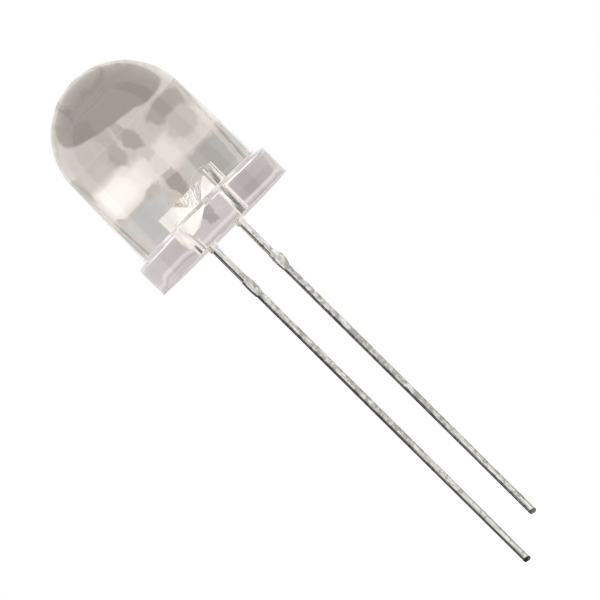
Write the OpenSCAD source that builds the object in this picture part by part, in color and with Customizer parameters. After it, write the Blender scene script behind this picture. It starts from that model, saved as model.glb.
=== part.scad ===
/* [Resin lens] */
// Diameter of the round barrel where it leaves the flange
barrel_d = 10; // [9.8:0.1:10.2]
// Diameter of the dome, which is smaller because the mould has draft
dome_d = 9.6; // [9.2:0.1:9.8]
// Height of the lens from the seating face to the tip of the dome
lens_h = 13.75; // [12.5:0.05:16]
// Diameter of the flange round the foot of the lens
flange_d = 11.2; // [11:0.1:12]
// Height of the upright rim of the flange
flange_h = 2.15; // [1.2:0.05:2.2]
// Rise of the sloping shoulder between the flange rim and the barrel
shoulder_h = 0.2; // [0.15:0.05:0.5]
// Distance from the axis to the flat that marks the cathode side
flat_distance = 5.25; // [5.15:0.05:5.4]
// How far the resin has crept down each lead below the seating face
creep_h = 0.35; // [0.15:0.05:0.6]
// Width of the crept resin beside the lead at the seating face
creep_w = 0.09; // [0.06:0.01:0.18]
// Width of the crept resin beside the lead where it ends
creep_end_w = 0.02; // [0.01:0.01:0.05]

/* [Lead frame] */
// Thickness of the strip that both leads are stamped from
strip_t = 0.45; // [0.4:0.05:0.6]
// Width of each lead
lead_w = 0.48; // [0.4:0.01:0.6]
// Small bevel along the edges of each lead
lead_bevel = 0.1; // [0.03:0.01:0.12]
// Distance between the centre lines of the leads
lead_pitch = 2.54; // [2.45:0.01:2.7]
// Length of the anode lead below the seating face
anode_l = 28.55; // [20:0.05:32]
// Length of the cathode lead below the seating face
cathode_l = 26.7; // [18:0.1:30]
// Slope of each lead's sheared tip through the thickness of the strip
tip_slope = 30; // [5:1:40]
// Slope of each lead's sheared tip across its width
tip_skew = 14; // [5:1:30]
// Depth of the middle of the tie bar stubs below the seating face
stub_depth = 3.65; // [2.5:0.05:6]
// Height of a tie bar stub where it meets the lead
stub_h = 1.3; // [1:0.1:2]
// Height of the sloping flank at each end of a stub
stub_flank_h = 0.45; // [0.1:0.05:0.48]
// How far the closely cut stubs stand out from the lead
stub_short = 0.03; // [0.02:0.01:0.1]
// How far the stub on the outer side of the cathode lead stands out
stub_long = 0.14; // [0.05:0.01:0.25]

/* [Anvil and post] */
// Height of the top of the anvil above the seating face
anvil_top = 3.47; // [3.3:0.01:4.2]
// Height of the arm that carries the reflector cup
arm_h = 1.22; // [1.05:0.01:1.3]
// Sideways step by which the anvil's stem stands out past the anode lead
stem_step = 0.17; // [0.1:0.01:0.22]
// Height above the seating face at which the stem's step starts
stem_bottom = 0.75; // [0.5:0.05:0.85]
// Height of the sloping part of the stem's step
stem_step_h = 0.35; // [0.2:0.05:0.4]
// Height of the lower edge of the anvil's web above the seating face
web_bottom = 1.3; // [1.26:0.02:1.7]
// How far the web's lower edge reaches past the inner side of the anode lead
web_reach = 0.34; // [0.2:0.01:0.5]
// Sideways run of the sloping edge between the web and the arm
gusset_run = 1; // [0.7:0.05:1.1]
// Height of the top of the cathode post above the seating face
post_top = 3.78; // [3.6:0.02:4.6]
// Sideways step by which the post stands clear of the anvil
post_step = 0.2; // [0.15:0.01:0.3]
// Height above the seating face at which the step starts
step_bottom = 2; // [1.7:0.05:2.1]
// Height of the sloping part of the step
step_h = 0.35; // [0.2:0.05:0.5]
// Gap between the end of the anvil's arm and the post
post_gap = 0.16; // [0.1:0.01:0.25]

/* [Reflector cup] */
// Radius of the cup's mouth
cup_mouth_r = 0.86; // [0.75:0.01:0.88]
// Radius of the cup's flat floor
cup_floor_r = 0.42; // [0.38:0.01:0.5]
// Depth of the cup below the top of the anvil
cup_depth = 0.65; // [0.5:0.01:0.75]
// Width of the cup's rim
cup_rim = 0.12; // [0.08:0.01:0.13]

/* [Chip and bonds] */
// Side of the square chip
chip_side = 0.36; // [0.25:0.01:0.4]
// Thickness of the chip
chip_t = 0.15; // [0.1:0.01:0.2]
// Radius of the silver adhesive under the chip
adhesive_r = 0.3; // [0.29:0.01:0.36]
// Thickness of the adhesive
adhesive_t = 0.03; // [0.02:0.01:0.05]
// Thickness of each gold bond wire
wire_d = 0.03; // [0.025:0.005:0.05]
// Distance of each ball bond from the middle of the chip
ball_offset = 0.1; // [0.07:0.01:0.12]
// Radius of each ball bond
ball_r = 0.045; // [0.04:0.005:0.06]
// Height of the ball bonds and of the stitches at the far ends
bond_h = 0.03; // [0.02:0.005:0.05]
// Radius of the flattened stitch where a wire ends
stitch_r = 0.06; // [0.05:0.005:0.08]
// Height of a wire's loop above the straight line between its bonds
loop_h = 0.55; // [0.4:0.05:0.8]
// Distance of the anvil's stitch from the edge of the cup's mouth
stitch_margin = 0.26; // [0.2:0.01:0.4]

/* [Hidden] */

barrel_r = barrel_d / 2;
dome_r = dome_d / 2;
dome_z = lens_h - dome_r;
flange_r = flange_d / 2;
barrel_z = flange_h + shoulder_h;
lead_x = lead_pitch / 2;
lead_half = lead_w / 2;
inner_x = lead_x - lead_half;
outer_x = lead_x + lead_half;
post_inner_x = inner_x + post_step;
post_outer_x = outer_x + post_step;
step_top = step_bottom + step_h;
stem_inner_x = inner_x + stem_step;
stem_outer_x = outer_x + stem_step;
stem_top = stem_bottom + stem_step_h;
arm_end_x = post_inner_x - post_gap;
arm_bottom = anvil_top - arm_h;
web_x = -inner_x + web_reach;
cup_floor_z = anvil_top - cup_depth;
cup_slope = (cup_mouth_r - cup_floor_r) / cup_depth;
cup_rim_r = cup_mouth_r + cup_rim;
// The coned outside of the cup fades into the strip where it is as narrow as the strip
cup_root_r = strip_t * 0.4;
cup_root_z = anvil_top - (cup_rim_r - cup_root_r) / cup_slope;
chip_z = cup_floor_z + adhesive_t;
chip_top = chip_z + chip_t;
anode_stitch_x = -cup_mouth_r - stitch_margin;
cathode_stitch_x = (post_inner_x + post_outer_x) / 2;
// Sizes of the cutting blocks and of cuts that run past a face
block = 20;
past = 0.01;
wire_sides = 6;
wire_steps = 10;

// Half of the lens's section, turned about the axis
module lens_section() {
    polygon([[0, 0], [flange_r, 0], [flange_r, flange_h], [barrel_r, barrel_z],
        [dome_r, dome_z], [0, dome_z]]);
    intersection() {
        translate([0, dome_z]) circle(r = dome_r, $fn = 96);
        translate([0, dome_z]) square([dome_r, dome_r]);
    }
}

// Outside of the lens, with the flat that marks the cathode side
module lens_outside() {
    difference() {
        rotate_extrude($fn = 96) lens_section();
        translate([flat_distance, -block / 2, -past])
            cube([block, block, barrel_z + 2 * past]);
    }
}

// Section of the crept resin on one lead, across a side of the given half width
module creep_section(half) {
    polygon([[-half - creep_w, 0], [half + creep_w, 0], [half + creep_end_w, -creep_h],
        [-half - creep_end_w, -creep_h]]);
}

// Resin that crept down one lead, narrowing away from the seating face
module creep(x) {
    translate([x, 0, 0]) intersection() {
        rotate([90, 0, 0]) linear_extrude(block, center = true) creep_section(lead_half);
        rotate([90, 0, 90]) linear_extrude(block, center = true) creep_section(strip_t / 2);
    }
}

// The clear casting, moulded round everything that stands inside it
module lens() {
    color([0.86, 0.84, 0.82, 0.4]) difference() {
        union() {
            lens_outside();
            creep(-lead_x);
            creep(lead_x);
        }
        anode_metal();
        cathode_metal();
        adhesive_solid();
        chip_solid();
        anode_wire_solid();
        cathode_wire_solid();
    }
}

// A straight lead of the bevelled strip, from a height down to its cut end
module lead_bar(x, length, top) {
    b = lead_bevel;
    t = strip_t / 2;
    translate([x, 0, top]) mirror([0, 0, 1]) linear_extrude(length + top)
        polygon([[-lead_half + b, -t], [lead_half - b, -t], [lead_half, -t + b],
            [lead_half, t - b], [lead_half - b, t], [-lead_half + b, t],
            [-lead_half, t - b], [-lead_half, -t + b]]);
}

// What is cut away below the sloping, sheared tip of a lead
module tip_cut(x, length) {
    translate([x + lead_half, strip_t / 2, -length]) rotate([-tip_slope, tip_skew, 0])
        translate([-block / 2, -block / 2, -block]) cube(block);
}

// An outline in the plane of the strip, given the strip's thickness
module stamped() {
    translate([0, strip_t / 2, 0]) rotate([90, 0, 0]) linear_extrude(strip_t) children();
}

// Remains of the tie bar on both sides of a lead, each with its own reach
module stubs(x, left, right) {
    h = stub_h / 2;
    f = h - stub_flank_h;
    translate([x, 0, -stub_depth]) stamped()
        polygon([[-lead_half, -h], [-lead_half - left, -f], [-lead_half - left, f],
            [-lead_half, h], [lead_half, h], [lead_half + right, f],
            [lead_half + right, -f], [lead_half, -h]]);
}

// Stem, web and arm of the anvil as stamped
module anvil_plate() {
    stamped() polygon([[-outer_x, stem_bottom], [-inner_x, stem_bottom],
        [-stem_inner_x, stem_top], [-stem_inner_x, web_bottom], [web_x, web_bottom],
        [web_x + gusset_run, arm_bottom], [arm_end_x, arm_bottom], [arm_end_x, anvil_top],
        [-stem_outer_x, anvil_top], [-stem_outer_x, stem_top]]);
}

// Metal that the coining punch pushes out round the cup
module cup_outside() {
    translate([0, 0, cup_root_z])
        cylinder(h = anvil_top - cup_root_z, r1 = cup_root_r, r2 = cup_rim_r, $fn = 64);
}

// The coined cup, run a little past the top of the anvil at the same slope
module cup_inside() {
    translate([0, 0, cup_floor_z])
        cylinder(h = cup_depth + past, r1 = cup_floor_r,
            r2 = cup_mouth_r + past * cup_slope, $fn = 64);
}

// Long lead with its anvil and reflector cup, stamped and coined in one piece
module anode_metal() {
    difference() {
        union() {
            lead_bar(-lead_x, anode_l, stem_bottom);
            stubs(-lead_x, stub_short, stub_short);
            anvil_plate();
            cup_outside();
        }
        cup_inside();
        tip_cut(-lead_x, anode_l);
    }
}

// Short lead with its stepped post
module cathode_metal() {
    difference() {
        union() {
            lead_bar(lead_x, cathode_l, step_bottom);
            stubs(lead_x, stub_short, stub_long);
            stamped() polygon([[inner_x, step_bottom], [outer_x, step_bottom],
                [post_outer_x, step_top], [post_outer_x, post_top],
                [post_inner_x, post_top], [post_inner_x, step_top]]);
        }
        tip_cut(lead_x, cathode_l);
    }
}

// Drop of silver adhesive, set flat under the chip
module adhesive_solid() {
    translate([0, 0, cup_floor_z]) cylinder(h = adhesive_t, r = adhesive_r, $fn = 32);
}

// Square chip that gives the light
module chip_solid() {
    translate([-chip_side / 2, -chip_side / 2, chip_z])
        cube([chip_side, chip_side, chip_t]);
}

// Points of a hexagon across a wire whose path leans by an angle from level
function wire_ring(x, z, lean) = [
    for (i = [0 : wire_sides - 1])
        let (a = i * 360 / wire_sides, s = wire_d / 2 * sin(a), c = wire_d / 2 * cos(a))
            [x - s * sin(lean), c, z + s * cos(lean)]
];

// Height of the loop at a share t of the way, above the straight line between the bonds
function loop_z(t) = 4 * loop_h * t * (1 - t);

// A wire looped in the plane of the strip, from the ball at x0, z0 to the stitch at x1, z1
module wire_loop(x0, z0, x1, z1) {
    rise = z1 - z0;
    run = x1 - x0;
    points = [
        for (k = [0 : wire_steps])
            let (t = k / wire_steps, slope = rise + 4 * loop_h * (1 - 2 * t))
                each wire_ring(x0 + run * t, z0 + rise * t + loop_z(t), atan2(slope, run))
    ];
    walls = [
        for (k = [0 : wire_steps - 1], i = [0 : wire_sides - 1])
            let (j = (i + 1) % wire_sides, a = k * wire_sides, b = a + wire_sides)
                each [[a + i, b + i, a + j], [a + j, b + i, b + j]]
    ];
    near = [for (i = [0 : wire_sides - 1]) i];
    far = [for (i = [wire_sides - 1 : -1 : 0]) wire_steps * wire_sides + i];
    polyhedron(points, concat([near], walls, [far]), convexity = 4);
}

// Ball bond on the chip and stitch bond at the far end, joined by the looped wire
module bonded_wire(ball_x, stitch_x, stitch_z) {
    translate([ball_x, 0, chip_top]) cylinder(h = bond_h, r = ball_r, $fn = 12);
    translate([stitch_x, 0, stitch_z]) cylinder(h = bond_h, r = stitch_r, $fn = 12);
    wire_loop(ball_x, chip_top + bond_h * 0.5, stitch_x, stitch_z + bond_h * 0.5);
}

// Wire from the chip to the top of the anvil
module anode_wire_solid() {
    bonded_wire(-ball_offset, anode_stitch_x, anvil_top);
}

// Wire from the chip across the gap to the top of the post
module cathode_wire_solid() {
    bonded_wire(ball_offset, cathode_stitch_x, post_top);
}

module anode_lead() {
    color([0.78, 0.78, 0.76]) anode_metal();
}

module cathode_lead() {
    color([0.72, 0.72, 0.7]) cathode_metal();
}

module led_chip() {
    color([0.75, 0.8, 0.55]) chip_solid();
}

module die_adhesive() {
    color([0.6, 0.6, 0.58]) adhesive_solid();
}

module anode_wire() {
    color([0.85, 0.68, 0.3]) anode_wire_solid();
}

module cathode_wire() {
    color([0.85, 0.68, 0.3]) cathode_wire_solid();
}

lens();
anode_lead();
cathode_lead();
led_chip();
die_adhesive();
anode_wire();
cathode_wire();
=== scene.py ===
import math

import bmesh
import bpy
from mathutils import Matrix, Vector


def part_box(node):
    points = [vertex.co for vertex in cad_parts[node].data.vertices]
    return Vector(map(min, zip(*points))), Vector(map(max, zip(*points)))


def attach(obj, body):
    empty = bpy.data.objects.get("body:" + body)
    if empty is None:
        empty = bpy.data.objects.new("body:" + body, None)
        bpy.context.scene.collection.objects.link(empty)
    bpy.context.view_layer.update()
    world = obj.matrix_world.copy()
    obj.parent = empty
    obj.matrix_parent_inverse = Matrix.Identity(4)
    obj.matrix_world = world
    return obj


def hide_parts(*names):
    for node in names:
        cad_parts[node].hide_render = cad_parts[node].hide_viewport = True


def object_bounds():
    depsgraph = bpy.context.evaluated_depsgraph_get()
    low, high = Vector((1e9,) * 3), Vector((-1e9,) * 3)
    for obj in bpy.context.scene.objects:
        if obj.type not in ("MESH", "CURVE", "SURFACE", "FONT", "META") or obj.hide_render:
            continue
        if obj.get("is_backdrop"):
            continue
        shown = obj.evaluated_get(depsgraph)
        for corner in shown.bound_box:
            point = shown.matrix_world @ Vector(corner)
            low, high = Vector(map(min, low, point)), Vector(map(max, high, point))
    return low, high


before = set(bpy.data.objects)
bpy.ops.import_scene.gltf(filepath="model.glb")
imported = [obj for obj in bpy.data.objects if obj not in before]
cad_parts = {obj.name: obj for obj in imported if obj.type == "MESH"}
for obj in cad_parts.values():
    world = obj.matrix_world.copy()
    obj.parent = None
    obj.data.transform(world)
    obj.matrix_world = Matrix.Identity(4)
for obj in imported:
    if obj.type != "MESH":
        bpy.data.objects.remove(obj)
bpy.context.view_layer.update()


# Camera. The LED is seen level, with its anode side turned a little towards the viewer, and the
# picture is rolled so that the dome points to the upper left and the leads to the lower right.
mm = 0.001
image_px = 600
px_per_mm = 15.65
sensor_width = 36
camera_azimuth = math.radians(-17)
camera_roll = math.radians(45.3)
camera_distance = 300 * mm
# The point of the LED's own plane that lies in the middle of the picture, across and up
aim_across = 0.33 * mm
aim_up = -6.41 * mm

camera_data = bpy.data.cameras.new("camera")
camera_data.sensor_width = sensor_width
camera_data.lens = sensor_width * camera_distance / (image_px / px_per_mm * mm)
camera_data.clip_start = 0.01
camera_data.clip_end = 10
camera = bpy.data.objects.new("camera", camera_data)
bpy.context.scene.collection.objects.link(camera)
bpy.context.scene.camera = camera

back = Vector((math.sin(camera_azimuth), -math.cos(camera_azimuth), 0))
across = Vector((math.cos(camera_azimuth), math.sin(camera_azimuth), 0))
up = Vector((0, 0, 1))
picture_right = across * math.cos(camera_roll) - up * math.sin(camera_roll)
picture_up = across * math.sin(camera_roll) + up * math.cos(camera_roll)
axes = Matrix((picture_right, picture_up, back)).transposed().to_4x4()
aim = across * aim_across + up * aim_up
camera.matrix_world = Matrix.Translation(aim + back * camera_distance) @ axes


# Lens. Water-clear epoxy, cast in a polished mould round the finished lead frame, so that its
# dome, barrel, shoulder and flange are one piece. The mould's insert leaves the flat on the
# cathode side, and a little resin creeps down each lead before it sets.
class Flow:
    """A socket in a material's tree, which adds Math nodes when it is used in an expression."""

    def __init__(self, tree, socket=None):
        self.tree = tree
        self.socket = socket

    def node(self, kind, settings=None, values=None, output=0):
        made = self.tree.nodes.new(kind)
        for name, value in (settings or {}).items():
            if name == "stops":
                ramp = made.color_ramp
                while len(ramp.elements) < len(value):
                    ramp.elements.new(1)
                for element, (place, shade) in zip(ramp.elements, value):
                    element.position = place
                    element.color = (*shade, 1) if isinstance(shade, tuple) else (shade,) * 3 + (1,)
            else:
                setattr(made, name, value)
        for name, value in (values or {}).items():
            if isinstance(value, Flow):
                self.tree.links.new(value.socket, made.inputs[name])
            else:
                made.inputs[name].default_value = value
        return Flow(self.tree, made.outputs[output] if made.outputs else None)

    def maths(self, operation, first, second=0.0):
        return self.node("ShaderNodeMath", {"operation": operation}, {0: first, 1: second})

    def __add__(self, other):
        return self.maths("ADD", self, other)

    def __radd__(self, other):
        return self.maths("ADD", other, self)

    def __sub__(self, other):
        return self.maths("SUBTRACT", self, other)

    def __rsub__(self, other):
        return self.maths("SUBTRACT", other, self)

    def __mul__(self, other):
        return self.maths("MULTIPLY", self, other)

    def __rmul__(self, other):
        return self.maths("MULTIPLY", other, self)

    def blend(self, first, second):
        """The colour that lies between two colours by this share."""
        return self.node("ShaderNodeMix", {"data_type": "RGBA"},
                         {"Factor": self, "A": first, "B": second}, "Result")

    def noise(self, where, scale, detail=3.0, roughness=0.5):
        return self.node("ShaderNodeTexNoise", None,
                         {"Vector": where, "Scale": scale, "Detail": detail, "Roughness": roughness})

    def climb(self, low, high):
        """A share that climbs smoothly from 0 at low to 1 at high."""
        return self.node("ShaderNodeMapRange", {"interpolation_type": "SMOOTHSTEP"},
                         {"Value": self, "From Min": low, "From Max": high})

    def within(self, low, high, soft):
        """A share that is 1 between two values and falls off softly on both sides."""
        return self.climb(low - soft / 2, low + soft / 2) - self.climb(high - soft / 2, high + soft / 2)

    def looking(self):
        """1 for the camera's own rays and for those in glass and metal, 0 for the others."""
        seen = self.node("ShaderNodeLightPath", output="Is Camera Ray")
        mirrored = self.node("ShaderNodeLightPath", output="Is Glossy Ray")
        refracted = self.node("ShaderNodeLightPath", output="Is Transmission Ray")
        return seen.maths("MAXIMUM", seen, seen.maths("MAXIMUM", mirrored, refracted))

    def toward(self, value, share):
        """This tone, brought towards a value by a share."""
        return self + (value - self) * share


def rgba(red, green, blue):
    return (red, green, blue, 1)


def finish_of(name, **constants):
    """A material with one Principled shader, its constants set on their own sockets."""
    material = bpy.data.materials.new(name)
    material.use_nodes = True
    shader = material.node_tree.nodes["Principled BSDF"]
    for socket, value in constants.items():
        shader.inputs[socket.replace("_", " ")].default_value = value
    flow = Flow(material.node_tree)
    place = flow.node("ShaderNodeTexCoord", output="Object")
    return material, shader, flow, place


def feed(shader, socket, flow):
    flow.tree.links.new(flow.socket, shader.inputs[socket])


def piece_from(shape, name, material):
    """Turns a finished bmesh into a piece that rides on the part."""
    mesh = bpy.data.meshes.new(name)
    shape.to_mesh(mesh)
    shape.free()
    mesh.shade_smooth()
    piece = bpy.data.objects.new(name, mesh)
    bpy.context.scene.collection.objects.link(piece)
    mesh.materials.append(material)
    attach(piece, "root")
    return piece


lens_low, lens_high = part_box("lens")
flange_r = -lens_low.x
flat_x = lens_high.x
tip_z = lens_high.z
creep_end_z = lens_low.z
barrel_r = 5.0 * mm
dome_r = 4.8 * mm
flange_h = 2.15 * mm
shoulder_h = 0.2 * mm
lead_x = 1.27 * mm
lead_half = 0.24 * mm
# How far the resin that crept down a lead stands out from it, at its top and at its end
creep_w = 0.09 * mm
creep_end_w = 0.02 * mm
edge_r = 0.05 * mm
edge_steps = 3
lens_steps = 288
dome_steps = 72
# The turn at which an edge is rounded, and the turn above which shading breaks at it
edge_angle = math.radians(25)
crisp_angle = math.radians(8)
# The number of turns after which a ray in the resin is ended
last_turn = 5.5
# Points that are closer than this are one
grain = 1e-6


def lens_shape():
    """The outside of the casting: half its outline spun round, its flat cut, its edges rounded."""
    shape = bmesh.new()
    dome_z = tip_z - dome_r
    corners = [(0, 0), (flange_r, 0), (flange_r, flange_h), (barrel_r, flange_h + shoulder_h),
               (dome_r, dome_z)]
    points = [shape.verts.new((x, 0, z)) for x, z in corners]
    for a, b in zip(points, points[1:]):
        shape.edges.new((a, b))
    bmesh.ops.spin(shape, geom=[points[-1]], cent=(0, 0, dome_z), axis=(0, 1, 0),
                   angle=-math.pi / 2, steps=dome_steps, use_merge=False)
    bmesh.ops.spin(shape, geom=shape.verts[:] + shape.edges[:], cent=(0, 0, 0), axis=(0, 0, 1),
                   angle=2 * math.pi, steps=lens_steps, use_merge=True)
    bmesh.ops.remove_doubles(shape, verts=shape.verts, dist=grain)
    cut = bmesh.ops.bisect_plane(shape, geom=shape.verts[:] + shape.edges[:] + shape.faces[:],
                                 plane_co=(flat_x, 0, 0), plane_no=(1, 0, 0), clear_outer=True)
    bmesh.ops.holes_fill(shape, edges=[e for e in cut["geom_cut"] if isinstance(e, bmesh.types.BMEdge)])
    base = [f for f in shape.faces if abs(f.calc_center_median().z) < grain]
    bmesh.ops.dissolve_faces(shape, faces=base)
    bmesh.ops.recalc_face_normals(shape, faces=shape.faces)
    edges = [e for e in shape.edges if e.is_manifold and e.calc_face_angle() > edge_angle]
    bmesh.ops.bevel(shape, geom=edges, offset=edge_r, offset_type="OFFSET", affect="EDGES",
                    segments=edge_steps, profile=0.5, material=-1)
    # The foot of the crept resin round each lead is cut out of the flat underside, then drawn down
    foot = lead_half + creep_w
    cuts = [((x + s * foot, 0, 0), (1, 0, 0)) for x in (-lead_x, lead_x) for s in (-1, 1)]
    cuts += [((0, s * foot, 0), (0, 1, 0)) for s in (-1, 1)]
    for place, across_cut in cuts:
        base = [f for f in shape.faces if all(abs(v.co.z) < grain for v in f.verts)]
        edges = list({e for f in base for e in f.edges})
        verts = list({v for f in base for v in f.verts})
        bmesh.ops.bisect_plane(shape, geom=base + edges + verts, plane_co=place, plane_no=across_cut)
    for x in (-lead_x, lead_x):
        middle = Vector((x, 0, 0))
        foot_face = [f for f in shape.faces if (f.calc_center_median() - middle).length < grain]
        grown = bmesh.ops.extrude_face_region(shape, geom=foot_face)
        bmesh.ops.delete(shape, geom=foot_face, context="FACES_ONLY")
        ends = [v for v in grown["geom"] if isinstance(v, bmesh.types.BMVert)]
        narrow = (lead_half + creep_end_w) / foot
        bmesh.ops.scale(shape, vec=(narrow, narrow, 1), verts=ends,
                        space=Matrix.Translation(-middle))
        bmesh.ops.translate(shape, vec=(0, 0, creep_end_z), verts=ends)
    bmesh.ops.recalc_face_normals(shape, faces=shape.faces)
    return shape


resin, resin_shader, flow, place = finish_of(
    "water_clear_resin", IOR=1.53, Transmission_Weight=1.0)
cloud = flow.noise(place, 260.0, 2.0)
feed(resin_shader, "Base Color", cloud.blend(rgba(0.955, 0.95, 0.94), rgba(0.985, 0.98, 0.975)))
smudge = flow.noise(place, 900.0, 4.0, 0.6)
feed(resin_shader, "Roughness", smudge * 0.03)
# A ray that keeps turning round inside the flange ends in an even grey painted glow instead of in black
turns = flow.node("ShaderNodeLightPath", output="Ray Depth")
even = flow.node("ShaderNodeEmission", None, {"Color": rgba(0.72, 0.68, 0.66)})
whole = flow.node("ShaderNodeMixShader", None, {
    0: turns.climb(last_turn - 0.1, last_turn + 0.1),
    1: Flow(flow.tree, resin_shader.outputs[0]), 2: even})
feed(resin.node_tree.nodes["Material Output"], "Surface", whole)

lens = piece_from(lens_shape(), "clear_lens", resin)
# The small roundings keep their own edges, so that the long faces refract as truly flat ones
lens.data.set_sharp_from_angle(angle=crisp_angle)
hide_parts("lens")


# Anode lead. Stamped from half-millimetre steel strip with its web and arm, coined at the top to
# form the reflector cup, silver plated, and dipped in tin below the resin. The tie bar that held
# it in its frame was sheared off after casting, and so was its slanting tip.

# The height of the tip's cut in the middle of the lead, above the lead's lowest corner, and how
# steeply it slants across the lead's width and through its thickness
cut_rise = 0.169 * mm
cut_skew = 0.25
cut_slope = 0.595
# The height between which the silver gives way to the tin
tin_top = 0.05 * mm
tin_full = -0.6 * mm
# How far the strip's own faces lie from its middle, and where the coined bulge is clear of them
strip_face = 0.228 * mm
bulge_face = 0.26 * mm
fold_angle = math.radians(35)


def metal_shape(node, *roundings):
    """A merged copy of a CAD node's mesh, its flat faces whole and its edges rounded in turn.

    Each rounding takes the edges above a length and an angle, and gives its radius and steps."""
    shape = bmesh.new()
    shape.from_mesh(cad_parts[node].data)
    bmesh.ops.remove_doubles(shape, verts=shape.verts, dist=grain)
    bmesh.ops.dissolve_limit(shape, angle_limit=math.radians(2), verts=shape.verts,
                             edges=shape.edges)
    for shortest, angle, round_r, round_steps in roundings:
        edges = [e for e in shape.edges if e.is_manifold and e.calc_length() > shortest
                 and e.calc_face_angle() > math.radians(angle)]
        bmesh.ops.bevel(shape, geom=edges, offset=round_r, offset_type="OFFSET", affect="EDGES",
                        segments=round_steps, profile=0.5, material=-1, clamp_overlap=True)
    return shape


def plated_metal(name, middle_x, tip_z):
    """Silver plate inside the resin, dipped tin with drawn streaks below it, bare at the cut."""
    material, shader, flow, place = finish_of(name, Metallic=1.0)
    side = flow.node("ShaderNodeSeparateXYZ", None, {"Vector": place}, "X")
    depth = flow.node("ShaderNodeSeparateXYZ", None, {"Vector": place}, "Y")
    height = flow.node("ShaderNodeSeparateXYZ", None, {"Vector": place}, "Z")
    dipped = 1 - height.climb(tin_full, tin_top)
    drawn = flow.node("ShaderNodeMapping", None, {"Vector": place, "Scale": (9000, 9000, 500)})
    streak = flow.noise(drawn, 1.0, 4.0, 0.6).climb(0.3, 0.7)
    patch = flow.noise(place, 1200.0, 3.0).climb(0.3, 0.7)
    # The tin set in uneven patches, some of them dull, with fewer near the flange and the tip
    near_flange = height.climb(-5 * mm, -1 * mm)
    near_tip = 1 - height.climb(-24 * mm, -17 * mm)
    bright = near_flange * 0.1 + near_tip * 0.07
    blotch = (flow.noise(place, 3000.0, 4.0, 0.65) + bright).climb(0.39, 0.58)
    tin = streak.blend(rgba(0.47, 0.465, 0.435), rgba(0.97, 0.965, 0.92))
    tin = blotch.blend(rgba(0.39, 0.385, 0.36), tin)
    silver = patch.blend(rgba(0.93, 0.88, 0.83), rgba(1.0, 0.955, 0.91))
    # The strip bulges out round the cup, where the coining punch has left its marks; they are painted
    # in dark streaks, which also serve as painted shade on the cup's outside
    bulge = depth.maths("ABSOLUTE", depth).climb(strip_face, bulge_face)
    marks = flow.node("ShaderNodeMapping", None, {"Vector": place, "Scale": (14000, 3000, 3000),
                                                  "Rotation": (0, math.radians(-35), 0)})
    mark = flow.noise(marks, 1.0, 3.0, 0.6).climb(0.35, 0.65)
    coined_marks_and_shade = mark.blend(rgba(0.55, 0.52, 0.49), rgba(0.92, 0.89, 0.85))
    silver = bulge.blend(silver, coined_marks_and_shade)
    # The slanting cut leaves the steel bare and dull
    over_cut = height - (tip_z + cut_rise) + (side - middle_x) * cut_skew + depth * cut_slope
    bare = 1 - over_cut.climb(0.02 * mm, 0.05 * mm)
    steel = patch.blend(rgba(0.07, 0.065, 0.06), rgba(0.16, 0.15, 0.145))
    feed(shader, "Base Color", bare.blend(dipped.blend(silver, tin), steel))
    feed(shader, "Roughness", 0.13 + dipped * 0.02 + patch * 0.1)
    relief = streak * 0.6 + patch * 0.4 + blotch * dipped
    feed(shader, "Normal", flow.node("ShaderNodeBump", None, {
        "Height": relief, "Strength": 0.3, "Distance": 0.02 * mm}, "Normal"))
    return material


# The edges along the leads, and all the others
long_edges = (3 * mm, 40, 0.045 * mm, 8)
short_edges = (0, 30, 0.045 * mm, 3)
anode_plate = plated_metal("anode_plate", -lead_x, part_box("anode_lead")[0].z)
anode = piece_from(metal_shape("anode_lead", long_edges, short_edges), "anode_strip",
                   anode_plate)
anode.data.set_sharp_from_angle(angle=fold_angle)
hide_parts("anode_lead")


# Cathode lead. Stamped from the same strip, plated and dipped in the same way, and shorter. Its
# post steps outwards to stand clear of the anvil's arm, and carries the end of a bond wire.

# The corners of the post, which the stamping drew rounder
post_edges = (1.4 * mm, 80, 0.16 * mm, 6)
cathode_plate = plated_metal("cathode_plate", lead_x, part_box("cathode_lead")[0].z)
cathode = piece_from(metal_shape("cathode_lead", long_edges, post_edges, short_edges),
                     "cathode_strip", cathode_plate)
cathode.data.set_sharp_from_angle(angle=fold_angle)
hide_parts("cathode_lead")


# Chip. A square of light-emitting crystal, sawn from its wafer, which sits in the middle of the
# cup. It keeps its solid.
def dress(node, material):
    """Gives a CAD node its own material."""
    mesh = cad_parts[node].data
    mesh.materials.clear()
    mesh.materials.append(material)


chip_crystal, shader, flow, place = finish_of("chip_crystal", IOR=2.4)
grains = flow.noise(place, 9000.0)
feed(shader, "Base Color", grains.blend(rgba(0.5, 0.55, 0.4), rgba(0.7, 0.73, 0.55)))
feed(shader, "Roughness", 0.12 + grains * 0.2)
dress("led_chip", chip_crystal)


# Die adhesive. A thin round pad of silver-filled epoxy paste, cured under the chip. It keeps its
# solid.
adhesive_paste, shader, flow, place = finish_of("adhesive_paste")
flakes = flow.noise(place, 20000.0)
feed(shader, "Base Color", flakes.blend(rgba(0.5, 0.5, 0.49), rgba(0.7, 0.7, 0.68)))
feed(shader, "Metallic", flakes.climb(0.45, 0.6) * 0.8)
feed(shader, "Roughness", 0.7 - flakes * 0.3)
dress("die_adhesive", adhesive_paste)


# Anode bond wire. Drawn gold, pressed into a ball on the chip, looped over the rim of the cup and
# stitched to the top of the anvil. It keeps its solid.
def drawn_gold(name):
    """Gold wire, drawn through a die."""
    material, shader, flow, place = finish_of(name, Metallic=1.0)
    drawn = flow.noise(place, 15000.0)
    feed(shader, "Base Color", drawn.blend(rgba(0.93, 0.78, 0.52), rgba(0.98, 0.85, 0.62)))
    feed(shader, "Roughness", 0.1 + drawn * 0.16)
    return material


dress("anode_wire", drawn_gold("anode_gold"))


# Cathode bond wire. The same gold wire, looped from the chip to the top of the cathode's post. It
# keeps its solid.
dress("cathode_wire", drawn_gold("cathode_gold"))


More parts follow.
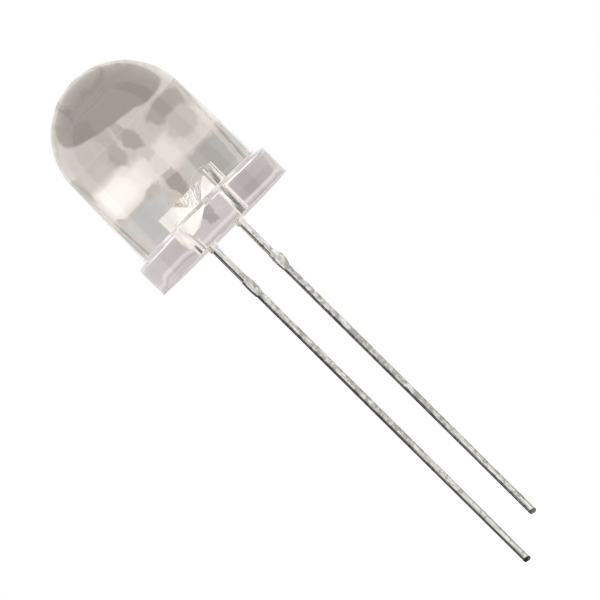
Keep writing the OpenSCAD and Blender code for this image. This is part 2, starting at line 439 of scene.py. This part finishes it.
# Floor. A plain pale surface just below the tip of the longer lead, which takes the shadow. It
# isn't mirrored in the leads, which mirror the dark screens instead.
def stage_sheet(name, shape):
    """A sheet of the studio, which isn't part of the object, and its still empty paint."""
    mesh = bpy.data.meshes.new(name)
    shape.to_mesh(mesh)
    shape.free()
    sheet = bpy.data.objects.new(name, mesh)
    bpy.context.scene.collection.objects.link(sheet)
    sheet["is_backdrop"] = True
    material = bpy.data.materials.new(name + "_paint")
    material.use_nodes = True
    material.node_tree.nodes.clear()
    mesh.materials.append(material)
    return sheet, Flow(material.node_tree)


def flat_sheet(name, half, right, top, middle):
    """A square sheet round a point, with the directions of its sides."""
    sides = Matrix((right, top, right.cross(top))).transposed().to_4x4()
    shape = bmesh.new()
    bmesh.ops.create_grid(shape, x_segments=1, y_segments=1, size=half,
                          matrix=Matrix.Translation(middle) @ sides)
    return stage_sheet(name, shape)


def hide_but_for(sheet, transmission, glossy):
    """Keeps a sheet out of the picture and the shadows, so that only glass or metal shows it."""
    sheet.visible_camera = False
    sheet.visible_diffuse = False
    sheet.visible_shadow = False
    sheet.visible_volume_scatter = False
    sheet.visible_transmission = transmission
    sheet.visible_glossy = glossy
    sheet.data.materials[0].cycles.emission_sampling = "NONE"


sheet_half = 0.6
floor_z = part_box("anode_lead")[0].z - 0.2 * mm
floor, flow = flat_sheet("floor", sheet_half, Vector((1, 0, 0)), Vector((0, 1, 0)), up * floor_z)
matt = flow.node("ShaderNodeBsdfDiffuse", None, {"Color": rgba(0.85, 0.85, 0.85)})
glow = flow.node("ShaderNodeEmission", None, {"Strength": flow.looking() * 0.4})
both = flow.node("ShaderNodeAddShader", None, {0: matt, 1: glow})
flow.node("ShaderNodeOutputMaterial", None, {"Surface": both})
floor.visible_glossy = False


# Backdrop. The pale table that the LED lies on in the picture, upright here as the LED is. It
# touches the back of the flange and of the dome, is seen only through the resin and in metal, and
# carries the LED's own shadow and the light that the resin gathers on it.
lean = math.radians(6.5)
table_top = up * math.cos(lean) + back * math.sin(lean)
table_foot = back * -5.875 * mm
table, flow = flat_sheet("backdrop", sheet_half, across, table_top, table_foot)
hide_but_for(table, transmission=True, glossy=True)
place = flow.node("ShaderNodeTexCoord", output="Object")

# Places on the table in mm, across from the LED's axis and up from its seating face
u = flow.node("ShaderNodeVectorMath", {"operation": "DOT_PRODUCT"},
              {0: place, 1: tuple(across / mm)}, "Value")
plain_v = flow.node("ShaderNodeSeparateXYZ", None, {"Vector": place}, "Z") * (1 / mm)
wide = u.maths("ABSOLUTE", u)
above = plain_v.climb(2.1, 2.3)
# Across the table as the resin spreads it, so that s and v are about what the viewer sees
plain_s = u.maths("DIVIDE", u, 0.28 + plain_v * 0.01 - above * 0.075)
spread = flow.node("ShaderNodeCombineXYZ", None, {"X": plain_s, "Y": plain_v})
broad = flow.noise(spread, 0.8, 1.0) - 0.5
slow = flow.noise(spread, 1.1, 1.0) - 0.5
ragged = flow.noise(spread, 3.1, 3.0, 0.6) - 0.5
# The soft shadows wander much, the edges where the LED touches the table only a little
edge_v = plain_v + ragged * 0.05 + slow * 0.06
v = plain_v + slow * 0.6 + ragged * 0.4
s = plain_s + broad * 1.0 + ragged * 0.45


def blot(s_middle, v_middle, s_half, v_half, soft):
    """A share that is 1 in a rounded patch and falls off softly at its outline."""
    side = (s - s_middle) * (1 / s_half)
    rise = (v - v_middle) * (1 / v_half)
    return 1 - (side * side + rise * rise).climb(1 - soft, 1 + soft)


def laid_on(tone, *patches):
    """A tone with patches of other tones laid on it, the later ones over the earlier."""
    for patch_tone, share in patches:
        tone = tone.toward(patch_tone, share)
    return tone


band = v.within(5.2, 7.2, 0.9)
low = 1 - v.climb(4.9, 5.4)
left = 1 - s.climb(-2.35, -1.6)
right = s.climb(1.5, 1.8)
cup_shadow = s.within(-0.36, 0.55, 0.2)
tone = laid_on(
    0.55 + broad * 0.10 + ragged * 0.08,
    # The light that the barrel gathers, brightest on the left
    (0.76, band),
    (0.66, right * band),
    (0.90, blot(-2.3, 6.5, 1.35, 1.2, 1.0)),
    (1.0, blot(-2.75, 6.5, 0.85, 0.85, 1.0)),
    # The shadow of the anvil's stem, in three pieces
    (0.46, blot(-1.2, 9.3, 0.45, 0.6, 0.5)),
    (0.42, blot(-1.37, 8.5, 0.62, 0.85, 0.4)),
    (0.50, blot(-1.32, 5.1, 0.6, 0.4, 0.5)),
    # The shadow of the cup, which runs from the dome to the flange through the gathered light
    (0.44, blot(-0.15, 9.3, 0.4, 0.6, 0.5)),
    (0.37, blot(0.1, 8.35, 0.52, 0.95, 0.4)),
    (0.58, cup_shadow * v.within(6.7, 7.6, 0.4)),
    (0.70, cup_shadow * v.within(5.5, 6.7, 0.6)),
    (0.46, cup_shadow * v.within(4.9, 5.45, 0.15)),
    (0.34, cup_shadow * v.within(1.0, 4.95, 0.1) * (0.85 + above * 0.15)),
    # The shade beside the anvil and the post
    (0.52, left * low),
    (0.42, right * low),
    # The shadow of the post
    (0.37, blot(2.5, 8.4, 1.0, 0.78, 0.35)),
    (0.53, blot(2.5, 6.95, 0.65, 0.95, 0.45)))
# The dome itself shines a little more than the barrel, so the table is darker behind it
tone = tone - 0.045 * plain_v.climb(9.25, 9.36)
rim = edge_v - 0.33 * (1 - u.climb(-0.8, -0.45)) + 0.09 * u.climb(0.5, 0.7)
below = 1 - plain_v.climb(-0.8, -0.5)
mirrored = 1 - flow.node("ShaderNodeLightPath", output="Is Transmission Ray")
tone = laid_on(
    tone,
    # The painted contact shadow where the dome touches the table
    (0.26, (edge_v + u * 0.16 + u.climb(0.45, 0.65) * 0.06).climb(9.49, 9.55)),
    # Painted shade at the foot of the flange, with a painted thin line of light along its rim
    (0.46, (1 - above) * u.climb(0.5, 0.6) * edge_v.climb(1.2, 1.35)),
    (0.57, 1 - rim.climb(0.4, 0.5)),
    (0.72, rim.within(0.47, 0.7, 0.2)),
    (0.46, rim.within(0.27, 0.36, 0.08)),
    # Beyond the LED the table is light, except beside the leads, where a painted dark reflection is
    # laid for their sides to mirror
    (0.95, wide.climb(1.0, 1.4) * plain_v.climb(0.3, 0.5)),
    (0.95, wide.climb(5.8, 6.4)),
    (0.95, plain_v.climb(10.4, 11.5)),
    (0.95, below),
    (0.1, mirrored * below * (1 - u.climb(-2.4, -2.0))))


def tinted(colour, share, tint):
    """A colour, multiplied by a tint where the share is 1."""
    return flow.node("ShaderNodeMix", {"data_type": "RGBA", "blend_type": "MULTIPLY"},
                     {"Factor": share, "A": colour, "B": rgba(*tint)}, "Result")


# The shadows are warm, but cooler at the barrel's foot and in the flange
colour = flow.node("ShaderNodeValToRGB", {"stops": [
    (0.02, (0.02, 0.02, 0.02)), (0.30, (0.34, 0.298, 0.27)), (0.42, (0.48, 0.43, 0.395)),
    (0.56, (0.63, 0.575, 0.535)), (0.75, (0.83, 0.765, 0.715)), (1.0, (1.10, 1.05, 0.99))]},
    {"Fac": tone})
colour = tinted(colour, wide.climb(0.26, 0.4) * v.within(2.3, 5.0, 0.3), (0.98, 1.05, 1.09))
colour = tinted(colour, 1 - above, (1.0, 1.0, 1.07))
glow = flow.node("ShaderNodeEmission", None, {"Color": colour, "Strength": 1.0})
flow.node("ShaderNodeOutputMaterial", None, {"Surface": glow})


# Dark screens. Black screens bent round the LED, which only polished metal and resin mirror, so that
# they paint dark reflections into them: one for what stands in the resin, one for the leads below it,
# and a narrow one on the right for both. They fade out towards their edges, and give the metal its dark
# sides as painted dark reflections.
def dark_screen(name, bearing, half_turn, fade, half_height, darkness, transmission, glossy):
    """A black screen, bent round the LED to both sides of a bearing, in degrees."""
    distance = 0.25
    steps = 24
    full_share = 0.4
    shape = bmesh.new()
    start = math.radians(bearing - half_turn)
    foot = Vector((math.cos(start), math.sin(start), 0)) * distance
    ends = [shape.verts.new(foot + up * z) for z in (-half_height, half_height)]
    shape.edges.new(ends)
    bmesh.ops.spin(shape, geom=shape.verts[:] + shape.edges[:], cent=(0, 0, 0), axis=(0, 0, 1),
                   angle=math.radians(2 * half_turn), steps=steps, use_merge=False)
    screen, flow = stage_sheet(name, shape)
    hide_but_for(screen, transmission, glossy)
    place = flow.node("ShaderNodeTexCoord", output="Object")
    level = flow.node("ShaderNodeVectorMath", {"operation": "MULTIPLY"}, {0: place, 1: (1, 1, 0)})
    level = flow.node("ShaderNodeVectorMath", {"operation": "NORMALIZE"}, {0: level})
    middle = (math.cos(math.radians(bearing)), math.sin(math.radians(bearing)), 0)
    facing = flow.node("ShaderNodeVectorMath", {"operation": "DOT_PRODUCT"},
                       {0: level, 1: middle}, "Value")
    outer = math.cos(math.radians(half_turn))
    inner = math.cos(math.radians(half_turn - fade))
    height = flow.node("ShaderNodeSeparateXYZ", None, {"Vector": place}, "Z")
    rise = height.maths("ABSOLUTE", height)
    black = facing.climb(outer, inner) * (1 - rise.climb(half_height * full_share, half_height))
    # Only a ray that was mirrored sees it, not one that came straight through the resin
    black = black * flow.node("ShaderNodeLightPath", output="Glossy Depth").climb(0.2, 0.8)
    glow = flow.node("ShaderNodeEmission", None,
                     {"Color": rgba(1, 1, 1), "Strength": 1 - black * darkness})
    flow.node("ShaderNodeOutputMaterial", None, {"Surface": glow})


dark_screen("resin_screen", bearing=-172, half_turn=92, fade=12, half_height=0.18, darkness=0.85,
            transmission=True, glossy=False)
dark_screen("lead_screen", bearing=-213, half_turn=77, fade=14, half_height=0.5, darkness=0.86,
            transmission=False, glossy=True)
dark_screen("right_screen", bearing=-35, half_turn=16, fade=8, half_height=0.5, darkness=0.9,
            transmission=True, glossy=True)


# Studio. A white room, plain white to the camera and in glass and metal, and one soft lamp that
# gives the floor its shadow.
world = bpy.data.worlds.new("studio")
bpy.context.scene.world = world
world.use_nodes = True
world.node_tree.nodes.clear()
flow = Flow(world.node_tree)
glow = flow.node("ShaderNodeBackground", None,
                 {"Color": rgba(1, 1, 1), "Strength": 0.7 + flow.looking() * 0.3})
flow.node("ShaderNodeOutputWorld", None, {"Surface": glow})

lamp = bpy.data.lights.new("key", "AREA")
lamp.shape = "SQUARE"
lamp.size = 0.12
lamp.energy = 0.3
key = bpy.data.objects.new("key", lamp)
key.location = (-0.12, -0.10, 0.18)
key.rotation_euler = (-key.location).to_track_quat("-Z", "Y").to_euler()
key.visible_glossy = False
key.visible_transmission = False
bpy.context.scene.collection.objects.link(key)

bpy.context.scene.view_settings.view_transform = "Standard"

low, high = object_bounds()
